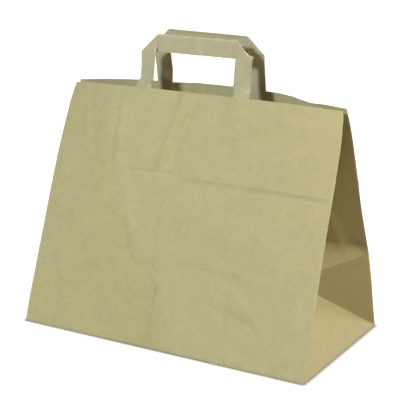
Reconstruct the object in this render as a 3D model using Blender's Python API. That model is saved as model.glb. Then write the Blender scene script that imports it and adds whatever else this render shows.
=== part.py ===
"""A kraft paper carrier bag with flat tape handles, standing open on its folded block bottom.

Metres, +Z up, +X to the right along the front panel, +Y from the front panel to the back one.
The origin is the middle of the base on the floor.  Heights along the paper are measured up
each panel from its bottom fold, so h = PANEL_HEIGHT is the rim.
"""

import math

import bmesh
import bpy
import numpy as np
from mathutils import Vector

FRONT = -1
BACK = 1

BAG_WIDTH = 0.320
BAG_DEPTH = 0.176
PANEL_HEIGHT = 0.256
PAPER = 0.0002
GAP = 0.0003

# The rim is nearly shut: where the two side folds of each gusset end, and how far the paper
# has drawn the rim corners in from the straight line above the base corners.
FRONT_CORNER_Y = 0.000
BACK_CORNER_Y = 0.0065
FRONT_FOLD_BOW = 0.0025
BACK_CREASE_Y = 0.064
BACK_FOLD_SAG = 0.005
CORNER_LEAN = 0.0035
CORNER_TUCK = 0.0045
TUCK_POWER = 10

# Both panels belly out at the mouth, the back one most a little right of the middle.  A panel's
# squareness is the power that keeps its middle flat, and its rise how late it starts up the paper.
FRONT_BELLY = 0.013
FRONT_BELLY_SQUARENESS = 4
FRONT_BELLY_RISE = 1.6
BACK_BELLY = 0.019
BACK_BELLY_PEAK = 0.10
BACK_BELLY_RIGHT_POWER = 1.5
BACK_BELLY_RISE = 1.2

# The folded base: two long flaps lapped along the middle over two turned-in side flaps.
BASE_LAP = 0.024
BASE_PLIES = 4
WINDOW_PLIES = 2
BASE_EDGE_MARGIN = 0.002
CUT_BEYOND = 0.001

# The lengthwise glue seam, on the back panel near its left fold.
SEAM_EDGE_X = -0.112
SEAM_LAP = 0.022
SEAM_SETTLE = 0.012
PLY_STEP = 0.0004
SEAM_CLEAR = 0.05

# The handles: a tape that leaves the panel at the rim, bends within HANDLE_BEND and goes on in
# one plane, which leans from its foot and, on the back, stands a little in from the panel.
TAPE_WIDTH = 0.0175
TAPE_THICKNESS = 0.0010
TAPE_FUSE = 0.0001
HANDLE_WIDTH = 0.124
HANDLE_RISE = 0.0535
FRONT_HANDLE_X = -0.004
BACK_HANDLE_X = -0.0035
LEG_BELOW_RIM = 0.040
HANDLE_BEND = 0.014
HANDLE_LEAN = {FRONT: 0.11, BACK: -0.08}
HANDLE_STANDS_IN = {FRONT: 0.0, BACK: 0.003}
RIM_STEP = 0.004
SHOULDER_STEP = 0.006

PATCH_WIDTH = 0.190
PATCH_HEIGHT = 0.050
PATCH_BELOW_RIM = 0.004
PATCH_RAMP = 0.004
LEG_CLEARANCE = 0.0006
SLOPE_REACH = 0.002

GUSSET_CELLS = 6
UPPER_ROWS = 12
PANEL_COLUMNS = 16
ARC_STEPS = 48
LEG_COLUMNS = 5
LEG_ROWS = 5
BEND_ROWS = 6
BAR_COLUMNS = 9
PATCH_ROWS = 6

HALF_DEPTH = BAG_DEPTH / 2
CREASE = HALF_DEPTH / PANEL_HEIGHT

KRAFT = (0.48, 0.44, 0.25, 1.0)
KRAFT_TAPE = (0.47, 0.43, 0.28, 1.0)
KRAFT_PATCH = (0.45, 0.40, 0.23, 1.0)
SHEET_ROUGHNESS = 0.8
TAPE_ROUGHNESS = 0.75


def clear_scene():
    for obj in list(bpy.data.objects):
        bpy.data.objects.remove(obj)


def kraft_material(name, colour, roughness):
    material = bpy.data.materials.new(name)
    material.use_nodes = True
    shader = material.node_tree.nodes["Principled BSDF"]
    shader.inputs["Base Color"].default_value = colour
    shader.inputs["Roughness"].default_value = roughness
    shader.inputs["Metallic"].default_value = 0.0
    return material


def new_object(name, bm, material=None):
    mesh = bpy.data.meshes.new(name)
    bm.to_mesh(mesh)
    bm.free()
    if material:
        mesh.materials.append(material)
    obj = bpy.data.objects.new(name, mesh)
    bpy.context.collection.objects.link(obj)
    return obj


def half_width(h):
    """Half the width between the two side folds, which draw together near the rim."""
    t = np.asarray(h) / PANEL_HEIGHT
    return BAG_WIDTH / 2 - CORNER_LEAN * t - CORNER_TUCK * t**TUCK_POWER


def fold_y(side, h):
    """Depth of the fold between a panel and its gussets, h up the paper."""
    t = np.asarray(h) / PANEL_HEIGHT
    if side == FRONT:
        straight = (1 - t) * -HALF_DEPTH + t * FRONT_CORNER_Y
        return straight - FRONT_FOLD_BOW * np.sin(math.pi * t)
    # The back panel keeps the crease where the flat base was folded up against it.
    above = np.clip((t - CREASE) / (1 - CREASE), 0, 1)
    below = np.clip(t / CREASE, 0, 1)
    lower = (1 - below) * HALF_DEPTH + below * BACK_CREASE_Y
    drop = (BACK_CREASE_Y - BACK_CORNER_Y) * above
    return lower - drop - BACK_FOLD_SAG * np.sin(math.pi * above)


def belly(side, s, h):
    """How far a panel stands out from the line between its side folds, at s across it."""
    t = np.asarray(h) / PANEL_HEIGHT
    s = min(max(s, -1.0), 1.0)
    if side == FRONT:
        return -FRONT_BELLY * (1 - s**FRONT_BELLY_SQUARENESS) * t**FRONT_BELLY_RISE
    reach = 1 - BACK_BELLY_PEAK if s > BACK_BELLY_PEAK else 1 + BACK_BELLY_PEAK
    power = BACK_BELLY_RIGHT_POWER if s > BACK_BELLY_PEAK else 1.0
    across = (1 - ((s - BACK_BELLY_PEAK) / reach) ** 2) ** power
    above = np.clip((t - CREASE) / (1 - CREASE), 0, 1)
    return BACK_BELLY * across * above**BACK_BELLY_RISE


def panel_point(side, s, h):
    """The outer face of a panel: s from -1 to 1 across it, h up the paper from the base.

    The paper doesn't stretch, so height is what is left of each step up the paper once the
    step inwards is taken off.
    """
    heights = np.linspace(0, h, ARC_STEPS + 1)
    x = s * half_width(heights)
    y = fold_y(side, heights) + belly(side, s, heights)
    rises = np.sqrt(np.diff(heights) ** 2 - np.diff(x) ** 2 - np.diff(y) ** 2)
    return Vector((x[-1], y[-1], rises.sum()))


def gusset_apex(hand):
    """Where the folds from the two base corners meet, half the depth up the gusset."""
    front = panel_point(FRONT, hand, HALF_DEPTH)
    back = panel_point(BACK, hand, HALF_DEPTH)
    lean = math.asin(1 - (back.y - front.y) / BAG_DEPTH)
    # Both the base corner and the side fold keep their distance to the apex on the paper.
    rise = (1 - math.sin(lean)) / math.cos(lean)
    inset = math.sqrt(1 - rise**2)
    return Vector((hand * (BAG_WIDTH / 2 - HALF_DEPTH * inset), 0, HALF_DEPTH * rise))


def gusset_top(hand):
    """Where the middle crease of a gusset ends: two arcs, of the half gusset and of the crease."""
    apex = gusset_apex(hand)
    front = panel_point(FRONT, hand, PANEL_HEIGHT)
    back = panel_point(BACK, hand, PANEL_HEIGHT)
    corner = (front + back) / 2
    reach = math.sqrt(HALF_DEPTH**2 - ((back.y - front.y) / 2) ** 2)
    crease = PANEL_HEIGHT - HALF_DEPTH
    along = Vector((abs(corner.x) - abs(apex.x), corner.z - apex.z))
    apart = along.length
    along.normalize()
    part = (crease**2 - reach**2 + apart**2) / (2 * apart)
    off = math.sqrt(crease**2 - part**2)
    x = abs(apex.x) + part * along.x - off * along.y
    z = apex.z + part * along.y + off * along.x
    return Vector((hand * x, corner.y, z))


def gusset_point(hand, across, h):
    """The outer face of a gusset: hand is -1 or 1, across from 0 at the front to BAG_DEPTH."""
    front = panel_point(FRONT, hand, h)
    back = panel_point(BACK, hand, h)
    apex = gusset_apex(hand)
    if h >= HALF_DEPTH:
        up = (h - HALF_DEPTH) / (PANEL_HEIGHT - HALF_DEPTH)
        middle = apex.lerp(gusset_top(hand), up)
        if across <= HALF_DEPTH:
            return front.lerp(middle, across / HALF_DEPTH)
        return middle.lerp(back, across / HALF_DEPTH - 1)
    # Below the apex two diagonal folds run up from the base corners, at 45 degrees on the paper.
    up = h / HALF_DEPTH
    front_diagonal = panel_point(FRONT, hand, 0).lerp(apex, up)
    back_diagonal = panel_point(BACK, hand, 0).lerp(apex, up)
    if across < h:
        return front.lerp(front_diagonal, across / h)
    if across > BAG_DEPTH - h:
        return back_diagonal.lerp(back, (across - BAG_DEPTH + h) / h)
    return front_diagonal.lerp(back_diagonal, (across - h) / (BAG_DEPTH - 2 * h))


def row_heights():
    lower = [i * HALF_DEPTH / GUSSET_CELLS for i in range(GUSSET_CELLS)]
    upper = np.linspace(HALF_DEPTH, PANEL_HEIGHT, UPPER_ROWS + 1)
    return lower + [float(h) for h in upper]


def seam_columns():
    """The back panel's extra columns, at the edges of the glued seam."""
    edge = SEAM_EDGE_X / (BAG_WIDTH / 2)
    step = PLY_STEP / (BAG_WIDTH / 2)
    lap = SEAM_LAP / (BAG_WIDTH / 2)
    settle = SEAM_SETTLE / (BAG_WIDTH / 2)
    return edge, edge + step, edge + lap, edge + lap + step, edge + lap + settle


def seam_ply(s):
    """How far the outer and the inner face stand off at s, where one edge laps the other."""
    edge, on, lap_end, past, settled = seam_columns()
    outer = np.interp(s, (edge, on, lap_end, settled), (0, PAPER, PAPER, 0))
    inner = np.interp(s, (lap_end, past, settled), (0, PAPER, 0))
    return float(outer), float(inner)


def ring_stations():
    """One station for each column round the bag, seen from above, anticlockwise from front left."""
    across = [2 * i / PANEL_COLUMNS - 1 for i in range(PANEL_COLUMNS)]
    cells = [i * HALF_DEPTH / GUSSET_CELLS for i in range(2 * GUSSET_CELLS)]
    back = [-s for s in across if all(abs(-s - c) > SEAM_CLEAR for c in seam_columns())]
    back = sorted(back + list(seam_columns()), reverse=True)
    stations = [("front", s) for s in across]
    stations += [("right", a) for a in cells]
    stations += [("back", s) for s in back]
    stations += [("left", BAG_DEPTH - a) for a in cells]
    return stations


def station_point(station, h):
    wall, place = station
    if wall == "front":
        return panel_point(FRONT, place, h)
    if wall == "back":
        return panel_point(BACK, place, h)
    return gusset_point(1 if wall == "right" else -1, place, h)


def add_rings(bm, rings):
    for lower, upper in zip(rings, rings[1:]):
        for i in range(len(lower)):
            j = (i + 1) % len(lower)
            bm.faces.new((lower[i], lower[j], upper[j], upper[i]))


def split_along_diagonals(bm, rings, stations):
    """Each gusset cell below the apex is split the way its diagonal fold runs."""
    cells = GUSSET_CELLS
    for wall in ("right", "left"):
        first = [i for i, (name, _) in enumerate(stations) if name == wall][0]
        for row in range(cells):
            for column in (row, 2 * cells - 1 - row):
                rising = column == row
                low = first + column + (0 if rising else 1)
                high = first + column + (1 if rising else 0)
                a = rings[row][low % len(stations)]
                b = rings[row + 1][high % len(stations)]
                face = [f for f in a.link_faces if f in b.link_faces][0]
                bmesh.utils.face_split(face, a, b)


def build_bag_body(material):
    """One folded and glued sheet: an outer skin, the same skin one ply in, and the rim between."""
    stations = ring_stations()
    heights = row_heights()
    bm = bmesh.new()
    outer = [[bm.verts.new(station_point(st, h)) for st in stations] for h in heights]
    add_rings(bm, outer)
    split_along_diagonals(bm, outer, stations)
    floor_face = bm.faces.new(reversed(outer[0]))
    bm.normal_update()

    inner_places = []
    for ring in outer:
        inner_places.append([v.co - v.normal * PAPER * v.calc_shell_factor() for v in ring])
    # The seam's plies stand off both faces, from the row above the base fold to the rim.
    for ring, places in zip(outer[1:], inner_places[1:]):
        for i, (wall, place) in enumerate(stations):
            if wall == "back":
                outer_ply, inner_ply = seam_ply(place)
                normal = ring[i].normal.copy()
                places[i] += normal * inner_ply
                ring[i].co += normal * outer_ply
    # The inside of the base is four glued plies up, where it meets the inner face of each wall.
    for i, low in enumerate(inner_places[0]):
        high = inner_places[1][i]
        up = (BASE_PLIES * PAPER - low.z) / (high.z - low.z)
        inner_places[0][i] = low.lerp(high, up)

    inner = [[bm.verts.new(place) for place in ring] for ring in inner_places]
    split_at = len(bm.faces)
    add_rings(bm, inner)
    split_along_diagonals(bm, inner, stations)
    bm.faces.ensure_lookup_table()
    inner_faces = list(bm.faces)[split_at:]
    inner_faces.append(bm.faces.new(reversed(inner[0])))
    bmesh.ops.reverse_faces(bm, faces=inner_faces)
    for i in range(len(stations)):
        j = (i + 1) % len(stations)
        bm.faces.new((outer[-1][i], outer[-1][j], inner[-1][j], inner[-1][i]))
    bmesh.ops.triangulate(bm, faces=[floor_face, inner_faces[-1]])
    body = new_object("bag_body", bm, material)
    for cutter in base_cutters():
        cut = body.modifiers.new(cutter.name, "BOOLEAN")
        cut.operation = "DIFFERENCE"
        cut.object = cutter
    return body


def prism(name, outline, z_low, z_high):
    """An upright prism on an outline that runs anticlockwise seen from above."""
    bm = bmesh.new()
    low = [bm.verts.new((x, y, z_low)) for x, y in outline]
    high = [bm.verts.new((x, y, z_high)) for x, y in outline]
    bm.faces.new(reversed(low))
    bm.faces.new(high)
    for i in range(len(outline)):
        j = (i + 1) % len(outline)
        bm.faces.new((low[i], low[j], high[j], high[i]))
    obj = new_object(name, bm)
    obj.hide_render = True
    obj.display_type = "WIRE"
    return obj


def base_cutters():
    """What the layers of the base leave open: under the front flap, at both ends and inside."""
    beyond = CUT_BEYOND
    half = BAG_WIDTH / 2
    lap_edge = -BASE_LAP / 2
    front_flap = [(-half - beyond, -HALF_DEPTH - beyond), (half + beyond, -HALF_DEPTH - beyond)]
    front_flap += [(half + beyond, lap_edge), (-half - beyond, lap_edge)]
    cutters = [prism("under_front_flap", front_flap, -beyond, PAPER)]
    window_z = WINDOW_PLIES * PAPER
    reach = HALF_DEPTH + beyond
    right = [(half - HALF_DEPTH, 0), (half + beyond, -reach), (half + beyond, reach)]
    cutters.append(prism("right_window", right, -beyond, window_z))
    left = [(-x, y) for x, y in reversed(right)]
    cutters.append(prism("left_window", left, -beyond, window_z))
    flap_end = half - HALF_DEPTH - BASE_LAP / 2
    inside_y = HALF_DEPTH - BASE_EDGE_MARGIN
    middle = [(-flap_end, -inside_y), (flap_end, -inside_y), (flap_end, inside_y), (-flap_end, inside_y)]
    cutters.append(prism("between_side_flaps", middle, (BASE_PLIES - 1) * PAPER, beyond * 2))
    return cutters


def handle_x(side):
    return FRONT_HANDLE_X if side == FRONT else BACK_HANDLE_X


def handle_guide(side, x, v):
    """The face that a handle and its patch lie on: the panel's inside, then on up past the rim."""
    h = min(v, PANEL_HEIGHT)
    s = x / float(half_width(h))
    point = panel_point(side, s, h)
    if v <= PANEL_HEIGHT:
        return point
    # Past the rim the tape turns upright within HANDLE_BEND and levels off to one flat plane.
    below = panel_point(side, s, PANEL_HEIGHT - RIM_STEP)
    start_lean = (point.y - below.y) / (point.z - below.z)
    end_lean = HANDLE_LEAN[side]
    middle = panel_point(side, handle_x(side) / float(half_width(h)), PANEL_HEIGHT)
    past = v - PANEL_HEIGHT
    turn = min(past / HANDLE_BEND, 1.0)
    ease = turn * turn * (3 - 2 * turn)
    curved = (start_lean - end_lean) * (turn - turn**2 / 2) * HANDLE_BEND
    level = middle.y - HANDLE_STANDS_IN[side]
    y = point.y + (level - point.y) * ease + curved + end_lean * past
    z = point.z + (middle.z - point.z) * ease + past * math.cos(math.atan(end_lean))
    return Vector((x, y, z))


def on_panel(side, x, depth, v):
    """A point at depth inside a panel's outer face, square to it."""
    reach = SLOPE_REACH
    up = handle_guide(side, x, v + reach) - handle_guide(side, x, v - reach)
    along = handle_guide(side, x + reach, v) - handle_guide(side, x - reach, v)
    inward = along.cross(up) * side
    return handle_guide(side, x, v) + inward.normalized() * depth


def slab_grid(bm, columns, rows, place, near, far):
    """A thin closed slab: a grid of columns and rows, between the depths near and far."""
    layers = []
    for depth in (near, far):
        layer = [[bm.verts.new(place(c, r, depth)) for c in columns] for r in rows]
        layers.append(layer)
    front, back = layers
    last_row = len(rows) - 1
    last_column = len(columns) - 1
    for r in range(last_row):
        for c in range(last_column):
            bm.faces.new((front[r][c], front[r][c + 1], front[r + 1][c + 1], front[r + 1][c]))
            bm.faces.new((back[r][c], back[r + 1][c], back[r + 1][c + 1], back[r][c + 1]))
        bm.faces.new((front[r][0], front[r + 1][0], back[r + 1][0], back[r][0]))
        edge = last_column
        bm.faces.new((front[r][edge], back[r][edge], back[r + 1][edge], front[r + 1][edge]))
    for c in range(last_column):
        bm.faces.new((front[0][c], back[0][c], back[0][c + 1], front[0][c + 1]))
        top = last_row
        bm.faces.new((front[top][c], front[top][c + 1], back[top][c + 1], back[top][c]))


def flat_leg(hand, near, far):
    """One leg of the handle laid flat: x, depth, v, with its top cut at 45 degrees by the fold."""
    outer = HANDLE_WIDTH / 2
    inner = outer - TAPE_WIDTH
    top = PANEL_HEIGHT + HANDLE_RISE
    bottom = PANEL_HEIGHT - LEG_BELOW_RIM
    shoulder = top - TAPE_WIDTH
    bend_end = PANEL_HEIGHT + HANDLE_BEND
    rows = list(np.linspace(bottom, PANEL_HEIGHT - RIM_STEP, LEG_ROWS))
    rows += list(np.linspace(PANEL_HEIGHT, bend_end, BEND_ROWS))
    rows += [shoulder - SHOULDER_STEP, None]
    columns = list(np.linspace(0, 1, LEG_COLUMNS))

    def place(c, r, depth):
        x = hand * (inner + c * TAPE_WIDTH) if hand > 0 else hand * (outer - c * TAPE_WIDTH)
        v = top - (abs(x) - inner) if r is None else r
        return Vector((x, depth, v))

    bm = bmesh.new()
    slab_grid(bm, columns, rows, place, near, far)
    return bm


def flat_bar(near, far):
    """The bar of the handle laid flat, as wide as the handle below and cut at 45 degrees."""
    outer = HANDLE_WIDTH / 2
    top = PANEL_HEIGHT + HANDLE_RISE
    rows = [top - TAPE_WIDTH, top]
    columns = list(np.linspace(-1, 1, BAR_COLUMNS))

    def place(c, r, depth):
        half = outer - (r - rows[0])
        return Vector((c * half, depth, r))

    bm = bmesh.new()
    slab_grid(bm, columns, rows, place, near, far)
    return bm


def build_handle(name, side, material):
    """One tape folded over at 45 degrees at two corners, its legs on the panel side of its bar."""
    near = PAPER + GAP
    far = near + TAPE_THICKNESS
    handle = new_object(name, flat_bar(far - TAPE_FUSE, far + TAPE_THICKNESS), material)
    for hand in (-1, 1):
        leg = new_object(f"{name}_leg_{hand}", flat_leg(hand, near, far))
        join = handle.modifiers.new(leg.name, "BOOLEAN")
        join.operation = "UNION"
        join.object = leg
    bpy.context.view_layer.update()
    folded = bpy.data.meshes.new_from_object(
        handle.evaluated_get(bpy.context.evaluated_depsgraph_get())
    )
    handle.modifiers.clear()
    for hand in (-1, 1):
        bpy.data.objects.remove(bpy.data.objects[f"{name}_leg_{hand}"])
    for vertex in folded.vertices:
        x, depth, v = vertex.co
        vertex.co = on_panel(side, x + handle_x(side), depth, v)
    if side == BACK:
        folded.flip_normals()
    handle.data = folded
    return handle


def patch_depth(x, leg_edges):
    """How deep the patch's panel side lies: on the panel, or humped over the leg it holds."""
    flat = PAPER + GAP
    over_leg = flat + TAPE_THICKNESS + GAP
    ramp = PATCH_RAMP + LEG_CLEARANCE
    for low, high in leg_edges:
        outside = max(low - x, x - high)
        if outside < ramp:
            rise = min(max((ramp - outside) / PATCH_RAMP, 0), 1)
            return flat + (over_leg - flat) * rise
    return flat


def build_patch(name, side, material):
    """The sheet glued inside the rim over both legs of a handle."""
    centre = handle_x(side)
    outer = HANDLE_WIDTH / 2
    inner = outer - TAPE_WIDTH
    legs = [(centre - outer, centre - inner), (centre + inner, centre + outer)]
    columns = [centre - PATCH_WIDTH / 2, centre + PATCH_WIDTH / 2]
    for low, high in legs:
        clear_low = low - LEG_CLEARANCE
        clear_high = high + LEG_CLEARANCE
        columns += [clear_low - PATCH_RAMP, clear_low, (low + high) / 2]
        columns += [clear_high, clear_high + PATCH_RAMP]
    between = inner - PATCH_RAMP
    columns += [centre + between * part for part in (-0.6, -0.2, 0.2, 0.6)]
    columns.sort()
    top = PANEL_HEIGHT - PATCH_BELOW_RIM
    rows = list(np.linspace(top - PATCH_HEIGHT, top, PATCH_ROWS))

    def place(x, v, ply):
        return on_panel(side, x, patch_depth(x, legs) + ply, v)

    bm = bmesh.new()
    slab_grid(bm, columns, rows, place, 0.0, PAPER)
    if side == BACK:
        bmesh.ops.reverse_faces(bm, faces=bm.faces)
    return new_object(name, bm, material)


def build():
    clear_scene()
    build_bag_body(kraft_material("kraft_sheet", KRAFT, SHEET_ROUGHNESS))
    for name, side in (("front_handle", FRONT), ("back_handle", BACK)):
        build_handle(name, side, kraft_material(f"{name}_tape", KRAFT_TAPE, TAPE_ROUGHNESS))
        patch_material = kraft_material(f"{name}_patch_sheet", KRAFT_PATCH, SHEET_ROUGHNESS)
        build_patch(f"{name}_patch", side, patch_material)


build()
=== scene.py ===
# %% [markdown]
# # A kraft paper carrier bag
#
# The object is a block-bottom carrier bag of kraft paper with two flat tape handles. On a bench it
# comes apart into five pieces: one big folded sheet, two tapes and two patches that hold the tapes.
# The measured model already says where each of them is. This lesson makes the paper itself: its
# thickness, its folds, the marks of having been packed flat, its fibres and its colour.

# %% Load the measured model
import math

import bmesh
import bpy
import numpy as np
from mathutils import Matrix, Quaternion, Vector


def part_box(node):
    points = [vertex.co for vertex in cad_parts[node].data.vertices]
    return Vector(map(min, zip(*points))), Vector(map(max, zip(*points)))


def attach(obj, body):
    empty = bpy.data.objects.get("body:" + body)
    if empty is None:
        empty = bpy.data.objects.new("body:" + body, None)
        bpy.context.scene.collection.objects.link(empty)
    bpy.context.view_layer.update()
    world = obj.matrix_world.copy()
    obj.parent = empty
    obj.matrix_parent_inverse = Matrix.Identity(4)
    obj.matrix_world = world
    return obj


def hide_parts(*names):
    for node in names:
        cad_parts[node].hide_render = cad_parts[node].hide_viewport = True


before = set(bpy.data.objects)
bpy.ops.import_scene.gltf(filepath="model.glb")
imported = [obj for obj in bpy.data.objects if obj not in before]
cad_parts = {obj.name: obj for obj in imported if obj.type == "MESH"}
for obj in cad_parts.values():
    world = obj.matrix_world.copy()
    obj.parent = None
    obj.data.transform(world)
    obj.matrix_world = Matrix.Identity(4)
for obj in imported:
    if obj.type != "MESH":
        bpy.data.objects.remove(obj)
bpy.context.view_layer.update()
sheet_low, sheet_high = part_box("bag_body")
bpy.ops.object.select_all(action="DESELECT")

# %% [markdown]
# ## The camera
#
# The picture was taken from the right of the bag's front and a little above it, with a long lens,
# so its upright edges hardly converge. The camera stands on a line from the middle of the bag, at
# that angle and distance, and it is turned by half a degree because the picture isn't quite level.

# %% Set the camera
AIM = Vector((-0.0013, 0.0, 0.1327))
AZIMUTH = math.radians(29.7)
ELEVATION = math.radians(15.3)
ROLL = math.radians(0.5)
CAMERA_DISTANCE = 1.212
LENS_MM = 107.5

towards_camera = Vector((
    math.sin(AZIMUTH) * math.cos(ELEVATION),
    -math.cos(AZIMUTH) * math.cos(ELEVATION),
    math.sin(ELEVATION),
))
bpy.ops.object.camera_add(location=AIM + towards_camera * CAMERA_DISTANCE)
camera = bpy.context.active_object
camera.data.lens = LENS_MM
camera.rotation_mode = "QUATERNION"
level = (-towards_camera).to_track_quat("-Z", "Y")
camera.rotation_quaternion = level @ Quaternion((0, 0, 1), ROLL)
bpy.context.scene.camera = camera
print("camera", [round(n, 3) for n in camera.location], LENS_MM, "mm lens")

# %% [markdown]
# ## How the paper is folded
#
# A bag like this is one rectangle of paper, glued into a flattened tube with a gusset at each
# side, and folded shut at its lower end. It could be built from separate plates, but then its
# widths and heights wouldn't agree where they meet. Here a flat sheet is made first, and a few
# short functions say where folding puts each point of it. Paper doesn't stretch, so every length
# on the sheet stays what it was, and the lean of each wall follows from that.
#
# `u` runs round the bag on the flat sheet and `v` runs up it. `v` is 0 at the fold of the base,
# negative on the flaps under it, and PANEL_HEIGHT at the rim.

# %% Sizes of the folded bag
WIDTH = sheet_high.x - sheet_low.x
HALF_WIDTH = WIDTH / 2
HALF_DEPTH = sheet_high.y
DEPTH = 2 * HALF_DEPTH
PANEL_HEIGHT = 0.256
PLY = 0.0002
BASE_LAP = 0.024
FLAP = HALF_DEPTH + BASE_LAP / 2

FRONT = -1
BACK = 1
# the side folds: where they end at the rim, and how they bow and lean on the way
FRONT_CORNER_Y = 0.0
BACK_CORNER_Y = 0.0065
FRONT_FOLD_BOW = 0.0025
BACK_CREASE_Y = 0.064
BACK_FOLD_SAG = 0.0038
CORNER_LEAN = 0.0035
CORNER_TUCK = 0.0045
TUCK_POWER = 10
# how far the panels stand out between them at the rim
FRONT_BELLY = 0.013
BACK_BELLY = 0.019
BACK_BELLY_PEAK = 0.10
CREASE_SHARE = HALF_DEPTH / PANEL_HEIGHT
ARC_STEPS = 64


def half_width(h):
    """Half the width between the two side folds, which draw together near the rim."""
    t = h / PANEL_HEIGHT
    return HALF_WIDTH - CORNER_LEAN * t - CORNER_TUCK * t**TUCK_POWER


def fold_y(side, h):
    """Depth of the fold between a panel and its gussets, h up the paper."""
    t = h / PANEL_HEIGHT
    if side == FRONT:
        straight = (1 - t) * -HALF_DEPTH + t * FRONT_CORNER_Y
        return straight - FRONT_FOLD_BOW * np.sin(math.pi * t)
    above = np.clip((t - CREASE_SHARE) / (1 - CREASE_SHARE), 0, 1)
    below = np.clip(t / CREASE_SHARE, 0, 1)
    lower = (1 - below) * HALF_DEPTH + below * BACK_CREASE_Y
    return lower - (BACK_CREASE_Y - BACK_CORNER_Y) * above - BACK_FOLD_SAG * np.sin(math.pi * above)


def belly(side, s, h):
    """How far a panel stands out from the line between its side folds, at s across it."""
    t = h / PANEL_HEIGHT
    s = np.clip(s, -1, 1)
    if side == FRONT:
        return -FRONT_BELLY * (1 - s**4) * t**1.6
    reach = np.where(s > BACK_BELLY_PEAK, 1 - BACK_BELLY_PEAK, 1 + BACK_BELLY_PEAK)
    power = np.where(s > BACK_BELLY_PEAK, 1.5, 1.0)
    across = np.clip(1 - ((s - BACK_BELLY_PEAK) / reach) ** 2, 0, 1) ** power
    above = np.clip((t - CREASE_SHARE) / (1 - CREASE_SHARE), 0, 1)
    return BACK_BELLY * across * above**1.2


def panel(side, s, h):
    """Points on a panel's outer face: s from -1 to 1 across it, h up the paper from the base."""
    s, h = np.broadcast_arrays(np.asarray(s, float), np.asarray(h, float))
    steps = np.linspace(0, 1, ARC_STEPS + 1).reshape((-1,) + (1,) * h.ndim) * h
    x = s * half_width(steps)
    y = fold_y(side, steps) + belly(side, s + 0 * steps, steps)
    run = np.diff(x, axis=0) ** 2 + np.diff(y, axis=0) ** 2
    z = np.sqrt(np.maximum(np.diff(steps, axis=0) ** 2 - run, 0)).sum(axis=0)
    return np.stack([x[-1], y[-1], z], axis=-1)


rim_front = panel(FRONT, 0.0, PANEL_HEIGHT)
rim_back = panel(BACK, 0.0, PANEL_HEIGHT)
print("mouth open by", round(1000 * float(rim_back[1] - rim_front[1])), "mm in the middle")

# %% [markdown]
# ## How a gusset tucks in
#
# Each side wall has three creases. Two run up at 45 degrees from the base corners and meet at an
# apex, half the depth up the paper. From there the middle crease runs up to the rim, and it is
# pulled inwards as the mouth closes. Both ends of it follow from distances that the paper keeps.

# %% Find the apex and the top of the middle crease


def gusset_apex(hand):
    """Where the two diagonal creases of a gusset meet."""
    front = panel(FRONT, hand, HALF_DEPTH)
    back = panel(BACK, hand, HALF_DEPTH)
    lean = math.asin(1 - (back[1] - front[1]) / DEPTH)
    rise = (1 - math.sin(lean)) / math.cos(lean)
    inset = math.sqrt(1 - rise**2)
    return np.array((hand * (HALF_WIDTH - HALF_DEPTH * inset), 0, HALF_DEPTH * rise))


def gusset_top(hand):
    """Where two arcs meet: half a gusset from the rim's corner, and the crease from the apex."""
    apex = gusset_apex(hand)
    front = panel(FRONT, hand, PANEL_HEIGHT)
    back = panel(BACK, hand, PANEL_HEIGHT)
    corner = (front + back) / 2
    reach = math.sqrt(HALF_DEPTH**2 - ((back[1] - front[1]) / 2) ** 2)
    crease = PANEL_HEIGHT - HALF_DEPTH
    along = np.array((abs(corner[0]) - abs(apex[0]), corner[2] - apex[2]))
    apart = np.linalg.norm(along)
    along /= apart
    part = (crease**2 - reach**2 + apart**2) / (2 * apart)
    off = math.sqrt(crease**2 - part**2)
    x = abs(apex[0]) + part * along[0] - off * along[1]
    z = apex[2] + part * along[1] + off * along[0]
    return np.array((hand * x, corner[1], z))


APEX = {hand: gusset_apex(hand) for hand in (-1, 1)}
TOP = {hand: gusset_top(hand) for hand in (-1, 1)}


def share(part, whole):
    """How much part is of whole, ready to scale points with."""
    return (part / np.maximum(whole, 1e-9))[..., None]


def gusset(hand, across, h):
    """Points on a gusset's outer face: across from 0 at the front fold to DEPTH at the back."""
    front = panel(FRONT, hand, h)
    back = panel(BACK, hand, h)
    low_front = np.array((hand * HALF_WIDTH, -HALF_DEPTH, 0))
    low_back = np.array((hand * HALF_WIDTH, HALF_DEPTH, 0))
    up = share(h - HALF_DEPTH, np.full_like(h, PANEL_HEIGHT - HALF_DEPTH))
    middle = APEX[hand] + (TOP[hand] - APEX[hand]) * up
    near = front + (middle - front) * share(across, np.full_like(h, HALF_DEPTH))
    far = middle + (back - middle) * share(across - HALF_DEPTH, np.full_like(h, HALF_DEPTH))
    upper = np.where((across <= HALF_DEPTH)[..., None], near, far)
    climb = share(h, np.full_like(h, HALF_DEPTH))
    diagonal_front = low_front + (APEX[hand] - low_front) * climb
    diagonal_back = low_back + (APEX[hand] - low_back) * climb
    beside_front = front + (diagonal_front - front) * share(across, h)
    beside_back = diagonal_back + (back - diagonal_back) * share(across - DEPTH + h, h)
    between = diagonal_front + (diagonal_back - diagonal_front) * share(across - h, DEPTH - 2 * h)
    lower = np.where((across < h)[..., None], beside_front, between)
    lower = np.where((across > DEPTH - h)[..., None], beside_back, lower)
    return np.where((h >= HALF_DEPTH)[..., None], upper, lower)


print("gusset apex", np.round(1000 * APEX[1]), "mm, top of its crease", np.round(1000 * TOP[1]), "mm")

# %% [markdown]
# ## The flat sheet in five sections
#
# The sheet starts under the glue seam on the back panel, goes round the left gusset, the front,
# the right gusset and most of the back, and ends on top of the seam. Below the base fold it goes
# on as flaps. The right and left flaps turn in first, then the front one, and the back one last,
# so each has its own number of plies under it.

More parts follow.
